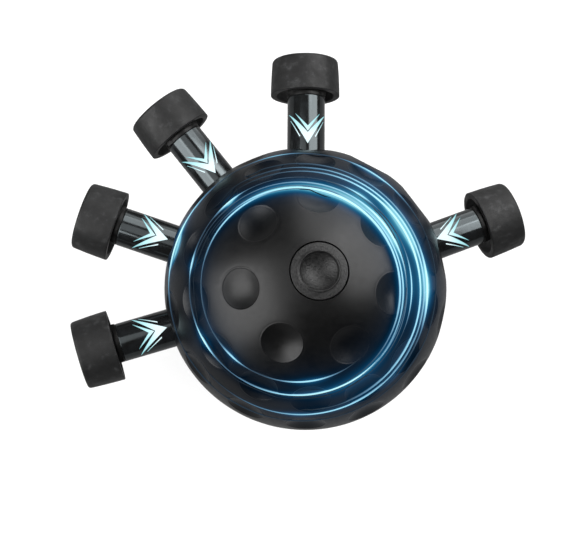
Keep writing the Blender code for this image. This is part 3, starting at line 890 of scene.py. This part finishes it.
def build_stripe(number, stripe):
    """A fine hoop round the ball. It bridges dimples, and sinks into the shell where it doesn't glow."""
    axis = stripe_axis(stripe)
    first = np.cross((0.0, 1.0, 0.0), axis)
    first /= np.linalg.norm(first)
    second = np.cross(axis, first)
    azimuth = np.linspace(0.0, 360.0, STRIPE_STEPS, endpoint=False)
    turn = np.radians(azimuth)
    glow = stripe_glow(stripe, azimuth)
    width = stripe.width * (HOOP_NARROWEST + (1.0 - HOOP_NARROWEST) * np.sqrt(glow))
    shown = np.clip(glow / HOOP_FADE, 0.0, 1.0)
    outward = np.outer(np.cos(turn), first) + np.outer(np.sin(turn), second)
    sides = []
    for side in (-0.5, 0.5):
        distance = stripe.radius + side * width
        height = np.sqrt(BALL_RADIUS**2 - distance**2)
        direction = (outward * distance[:, None] + np.outer(height, axis)) / BALL_RADIUS
        hidden = surface_radius(direction) - HOOP_SINK
        crest = hidden + shown * (BALL_RADIUS + HOOP_LIFT - hidden)
        sides.append([direction * crest[:, None], direction * (crest - HOOP_LIFT - HOOP_SINK)[:, None]])
    (crest_a, foot_a), (crest_b, foot_b) = sides
    sections = np.stack([crest_a, crest_b, foot_b, foot_a], axis=1)
    points, faces = swept(sections, loop=True)
    obj = mesh_object(f"pinstripe_{number}", points + np.array(CENTRE), faces)
    # Painted glow on the hoop: full on its crests, dimmer on its feet, brightest at its painted highlights
    attribute(obj, "glow", np.outer(glow, HOOP_GLOW).ravel())
    obj.data.materials.append(STRIPE_INK_AND_GLOW)
    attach(obj, "ball")


def build_ball():
    """Everything fixed that shows: shells, caps and pinstripes."""
    build_shell("front_shell", 1, front_shell_profile())
    build_shell("rear_shell", -1, rear_shell_profile())
    build_front_cap()
    build_rear_cap()
    for number, stripe in enumerate(STRIPES, start=1):
        build_stripe(number, stripe)


# ---- plungers ----------------------------------------------------------------


def build_stem(finger, matrix):
    """A plain tube with a flange at its inner end that stops it in the ball."""
    low, high = local_box(finger + "_stem", matrix)
    start, end, flange_radius = low[2], high[2], high[0]
    flange_end = start + STEM_FLANGE
    corners = [
        (STEM_BORE, end, 0.15 * MM),
        (STEM_RADIUS, end, 0.25 * MM),
        (STEM_RADIUS, flange_end),
        (flange_radius, flange_end, 0.15 * MM),
        (flange_radius, start, 0.25 * MM),
        (STEM_BORE, start, 0.15 * MM),
    ]
    build_turned_piece(finger + "_stem", rounded(corners, closed=True), matrix, finger + "_plunger")


def build_sleeve(finger, matrix):
    """Straight bore, tapered outside, thin crisp lip at the ball and a soft round edge at the far end."""
    low, high = local_box(finger + "_sleeve", matrix)
    start, end, start_radius = low[2], high[2], high[0]
    across, along = 0.65 * MM, 0.95 * MM
    corners = [
        (SLEEVE_BORE, end - 0.05 * MM, 0.25 * MM),
        *arc((SLEEVE_END_RADIUS - across, end - along), (across, along), 90, 0, 10),
        (start_radius, start, 0.22 * MM),
        (SLEEVE_BORE, start, 0.3 * MM),
    ]
    profile = refined(rounded(corners, closed=True), 0.4 * MM)
    points, faces = turned(profile, SLEEVE_SEGMENTS)
    points = soft_rubber(points, start, end, FINGERS.index(finger))
    placement = matrix @ Matrix.Translation((0.0, SLEEVE_OFFSET, 0.0))
    obj = mesh_object(finger + "_sleeve_fine", placed(points, placement), faces)
    finish_piece(obj, finger + "_sleeve", finger + "_plunger")


def soft_rubber(points, start, end, phase):
    """Gives a sleeve the slight swell and unevenness of soft rubber, and its fine mould lines."""
    radius = np.hypot(points[:, 0], points[:, 1])
    angle = np.arctan2(points[:, 1], points[:, 0])
    along = (points[:, 2] - start) / (end - start)
    outside = np.clip((radius - SLEEVE_BORE) / (1.0 * MM), 0.0, 1.0)
    swell = 0.09 * MM * np.sin(math.pi * along)
    uneven = 0.05 * MM * np.sin(3 * angle + phase) + 0.03 * MM * np.sin(7 * angle - 2 * phase + 3 * along)
    mould_line = 0.05 * MM * np.exp(-((np.abs(np.sin(angle)) * radius / (0.3 * MM)) ** 2))
    scale = 1.0 + outside * (swell + uneven + mould_line) / radius
    return points * np.stack([scale, scale, np.ones(len(points))], axis=1)


def build_saddle(finger, matrix):
    """A disc and plug that close the stem's end, with a round-backed tongue that runs into the sleeve."""
    node = finger + "_saddle"
    low, high = local_box(node, matrix)
    stem_end = local_box(finger + "_stem", matrix)[1][2]
    disc_start = stem_end + 0.02 * MM
    disc_end = stem_end + GAP + SADDLE_DISC
    corners = [
        (0.0, disc_end),
        (STEM_RADIUS, disc_end, 0.35 * MM),
        (STEM_RADIUS, disc_start, 0.2 * MM),
        (PLUG_RADIUS, disc_start),
        (PLUG_RADIUS, low[2], 0.3 * MM),
        (0.0, low[2]),
    ]
    points, faces = turned(rounded(corners, closed=False), TOOL_SEGMENTS)
    saddle = mesh_object(node + "_fine", placed(points, matrix), faces)
    tongue_points, tongue_faces = tongue(disc_start + 0.3 * MM, high[2])
    combine(saddle, (placed(tongue_points, matrix), tongue_faces), "UNION")
    finish_piece(saddle, node, finger + "_plunger")


def tongue(start, end):
    """The saddle's tongue: a round back and a flat face, drawn in towards its tip."""
    rise = SADDLE_FLAT - SLEEVE_OFFSET
    half_angle = math.degrees(math.acos(rise / SADDLE_OUTER))
    back = arc((0.0, SLEEVE_OFFSET), (SADDLE_OUTER, SADDLE_OUTER), 90 + half_angle, 90 - half_angle, 32)
    outline = np.array(rounded(with_round_ends(back, 0.5 * MM), closed=True))
    middle = outline.mean(axis=0)
    edge = 0.7 * MM
    narrowing = 0.14
    places = [(start, 1.0), (end - edge, 1.0)]
    for angle in np.radians(range(15, 91, 15)):
        places.append((end - edge + edge * math.sin(angle), 1.0 - narrowing * (1 - math.cos(angle))))
    sections = [np.insert(middle + (outline - middle) * size, 2, along, axis=1) for along, size in places]
    return swept(np.array(sections), loop=False)


def arrow_strip(tip, notch, wing, steps=14, across=7):
    """A V as a grid on the stem's front: wing is its outer end, tip its point and notch its inner corner."""
    rows = []
    blunt = 0.06 * MM
    for side, order in ((-1, range(steps, 0, -1)), (1, range(steps + 1))):
        for k in order:
            t = k / steps
            outer = Vector((0.0, tip)).lerp(Vector((side * wing[0], wing[1])), t)
            inner = Vector((0.0, notch)).lerp(Vector((side * wing[0], wing[1] + blunt)), t)
            rows.append([outer.lerp(inner, u / (across - 1)) for u in range(across)])
    return rows


def arrow_sliver(side, start, end, width, steps=10):
    """A thin straight line beside the arrow, tapered to its outer end."""
    rows = []
    for k in range(steps + 1):
        middle = Vector(start).lerp(Vector(end), k / steps)
        half = width / 2 * (1.0 - 0.8 * k / steps)
        rows.append([Vector((side * middle.x + half * edge, middle.y)) for edge in (1, -1)])
    return rows


def on_stem(rows):
    """Lays a flat grid of (across, along) points on the front of the stem: places and normals."""
    flat = np.array([[tuple(point) for point in row] for row in rows])
    limit = 0.97 * STEM_RADIUS
    across = np.clip(flat[..., 0], -limit, limit)
    front = np.sqrt(STEM_RADIUS**2 - across**2)
    places = np.stack([across, front, flat[..., 1]], axis=-1)
    normals = np.stack([across, front, np.zeros_like(front)], axis=-1) / STEM_RADIUS
    return places, normals


def build_arrow(finger, matrix):
    """Arrows printed on the stem's front, pointing the way that it is pressed, with a painted glow."""
    stem_end = local_box(finger + "_stem", matrix)[1][2]
    base = min(ARROW_START, stem_end - ARROW_LENGTH)
    wing_top = base + 8.9 * MM
    sliver_start, sliver_end = (2.2 * MM, base + 2.1 * MM), (4.7 * MM, base + 7.0 * MM)
    strips = [
        arrow_strip(tip=base, notch=base + 3.3 * MM, wing=(5.1 * MM, wing_top)),
        arrow_strip(tip=base + 3.65 * MM, notch=base + 5.2 * MM, wing=(3.5 * MM, wing_top)),
    ]
    strips += [arrow_sliver(side, sliver_start, sliver_end, width=0.34 * MM) for side in (1, -1)]
    shapes = []
    glow = []
    for rows in strips:
        places, normals = on_stem(rows)
        points, faces = slab(places, normals, ARROW_LIFT, ARROW_SINK)
        shapes.append((points, faces))
        # Painted glow, brightest at the tip and fading towards the wings, which also turns the print from white to
        # cyan
        fade = np.clip((points[:, 2] - base - 3 * MM) / (6 * MM), 0.0, 1.0)
        glow += list(1.0 - 0.6 * fade)
    points, faces = merged(shapes)
    obj = mesh_object(finger + "_arrow", placed(points, matrix), faces)
    attribute(obj, "glow", glow)
    obj.data.materials.append(ARROW_INK_AND_GLOW)
    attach(obj, finger + "_plunger")


def spring_line(low, high):
    """The wire's centreline: a coil with a closed turn at each end."""
    pitch = (high - low - 2 * END_TURNS * END_PITCH) / (COIL_TURNS - 2 * END_TURNS)
    turn = np.linspace(0.0, COIL_TURNS, round(COIL_TURNS * TURN_STEPS) + 1)
    closed = np.minimum(turn, END_TURNS) + np.maximum(0.0, turn - (COIL_TURNS - END_TURNS))
    height = low + closed * END_PITCH + (turn - closed) * pitch
    angle = 2 * math.pi * turn
    return np.stack([COIL_RADIUS * np.cos(angle), COIL_RADIUS * np.sin(angle), height], axis=1)


def build_spring(finger, matrix):
    """A round wire swept along the coil. Its inner end stays on the hub."""
    node = finger + "_spring"
    low, high = local_box(node, matrix)
    line = spring_line(low[2] + WIRE_RADIUS, high[2] - WIRE_RADIUS)
    tangent = np.gradient(line, axis=0)
    tangent /= np.linalg.norm(tangent, axis=1)[:, None]
    radial = line * np.array([1.0, 1.0, 0.0]) / COIL_RADIUS
    binormal = np.cross(tangent, radial)
    rails = []
    for k in range(WIRE_SIDES):
        angle = 2 * math.pi * k / WIRE_SIDES
        rails.append(line + WIRE_RADIUS * (math.cos(angle) * radial + math.sin(angle) * binormal))
    points, faces = swept(np.stack(rails, axis=1), loop=False)
    spring = mesh_object(node + "_fine", placed(points, matrix), faces)
    finish_piece(spring, node, "ball")
    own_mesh(spring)


def build_ring(node, bore, bore_edge, outer_edge, matrix, body):
    """A plain round ring with rounded edges."""
    low, high = local_box(node, matrix)
    corners = [
        (bore, high[2], bore_edge),
        (high[0], high[2], outer_edge),
        (high[0], low[2], outer_edge),
        (bore, low[2], bore_edge),
    ]
    build_turned_piece(node, rounded(corners, closed=True), matrix, body)


def build_pin(finger, matrix):
    """The steel pin up the middle of the spring."""
    node = finger + "_guide_pin"
    low, high = local_box(node, matrix)
    corners = [(0.0, high[2]), (high[0], high[2], 0.5 * MM), (high[0], low[2], 0.2 * MM), (0.0, low[2])]
    build_turned_piece(node, rounded(corners, closed=False), matrix, "ball")


def build_plungers():
    """Every finger's plunger, and the bush, pin, spring and washer that it works with."""
    for finger in FINGERS:
        matrix = finger_frame(finger)
        build_stem(finger, matrix)
        build_sleeve(finger, matrix)
        build_saddle(finger, matrix)
        build_arrow(finger, matrix)
        build_spring(finger, matrix)
        build_ring(finger + "_guide_bush", BUSH_BORE, 0.3 * MM, 0.25 * MM, matrix, "ball")
        build_pin(finger, matrix)
        build_ring(finger + "_thrust_washer", WASHER_BORE, 0.1 * MM, 0.15 * MM, matrix, finger + "_carrier")


def dress_cad_nodes():
    """Gives every CAD node its material, which shows on those that no fine mesh replaces."""
    for name, obj in frame["nodes"].items():
        obj.data.materials.clear()
        obj.data.materials.append(MATERIALS[SLOTS[name]])


# ---- room, light, camera -----------------------------------------------------


def build_room():
    """A pale round room: floor, wall and ceiling in one, with the object on the middle of the floor."""
    radius, height, corner = 3.0, 2.6, 0.8
    profile = [
        (0.0, height),
        *arc((radius - corner, height - corner), (corner, corner), 90, 0, 12),
        *arc((radius - corner, corner), (corner, corner), 0, -90, 12),
        (0.3, 0.0),
        (0.0, 0.0),
    ]
    points, faces = turned(profile, segments=96)
    room = mesh_object("room", points, faces, sharp_deg=60.0)
    look = Material("pale_room", roughness=0.7)
    look.feed("Base Color", look.ramp(look.noise(0.3), (0.3, grey(0.19)), (0.7, grey(0.21))))
    look.set("Emission Color", (1.0, 1.0, 1.0, 1.0))
    look.set("Emission Strength", 0.7)
    look.set("Specular IOR Level", 0.1)
    room.data.materials.append(look.material)
    room.visible_glossy = False


def softbox(name, azimuth_deg, elevation_deg, size, power):
    """A square area light that faces the ball."""
    azimuth, elevation = math.radians(azimuth_deg), math.radians(elevation_deg)
    direction = Vector((
        math.cos(azimuth) * math.cos(elevation),
        math.sin(azimuth) * math.cos(elevation),
        math.sin(elevation),
    ))
    data = bpy.data.lights.new(name, "AREA")
    data.size = size
    data.energy = power
    light = bpy.data.objects.new(name, data)
    light.location = CENTRE + direction * LIGHT_DISTANCE
    light.rotation_euler = direction.to_track_quat("Z", "Y").to_euler()
    bpy.context.scene.collection.objects.link(light)


def build_world():
    """What gloss sees in place of the room, which is hidden from it: dim above, and pale below."""
    world = bpy.data.worlds.new("studio")
    bpy.context.scene.world = world
    world.use_nodes = True
    tree = world.node_tree
    direction = tree.nodes.new("ShaderNodeTexCoord")
    split = tree.nodes.new("ShaderNodeSeparateXYZ")
    ramp = tree.nodes.new("ShaderNodeValToRGB")
    below, above = ramp.color_ramp.elements
    below.position = 0.0
    below.color = (*grey(WORLD_BELOW), 1.0)
    above.position = HORIZON
    above.color = (*grey(WORLD_ABOVE), 1.0)
    tree.links.new(direction.outputs["Generated"], split.inputs["Vector"])
    tree.links.new(split.outputs["Z"], ramp.inputs["Fac"])
    tree.links.new(ramp.outputs["Color"], tree.nodes["Background"].inputs["Color"])


def build_light():
    """Softboxes: azimuth and elevation in degrees, size in metres, power in watts."""
    softbox("key", 26.0, 46.0, 0.8, 15.0)
    softbox("window", 75.0, 42.0, 0.6, 5.2)
    softbox("wide", 195.0, 33.0, 0.85, 16.0)
    softbox("overhead", 175.0, 66.0, 0.6, 2.0)
    softbox("rim", 75.0, 6.0, 0.7, 3.2)


def facing(back):
    """Axes of a camera that looks along -back, with its top towards +Y: right, up, back."""
    up = Vector((0.0, 1.0, -back.y / back.z)).normalized()
    return up.cross(back), up, back


def build_camera():
    """The photo's view: nearly straight down on the front cap, with the ball a little off the middle."""
    data = bpy.data.cameras.new("camera")
    data.lens = LENS
    data.sensor_width = 36.0
    camera = bpy.data.objects.new("camera", data)
    bpy.context.scene.collection.objects.link(camera)
    right, up, back = facing(VIEW_DIRECTION)
    eye = CENTRE + back * VIEW_DISTANCE
    aim = CENTRE + right * VIEW_AIM[0] + up * VIEW_AIM[1]
    turn = Matrix(facing((eye - aim).normalized())).transposed().to_4x4()
    camera.matrix_world = Matrix.Translation(eye) @ turn
    bpy.context.scene.camera = camera


dress_cad_nodes()
build_ball()
build_plungers()
build_room()
build_world()
build_light()
build_camera()
bpy.context.scene.view_settings.view_transform = "Standard"
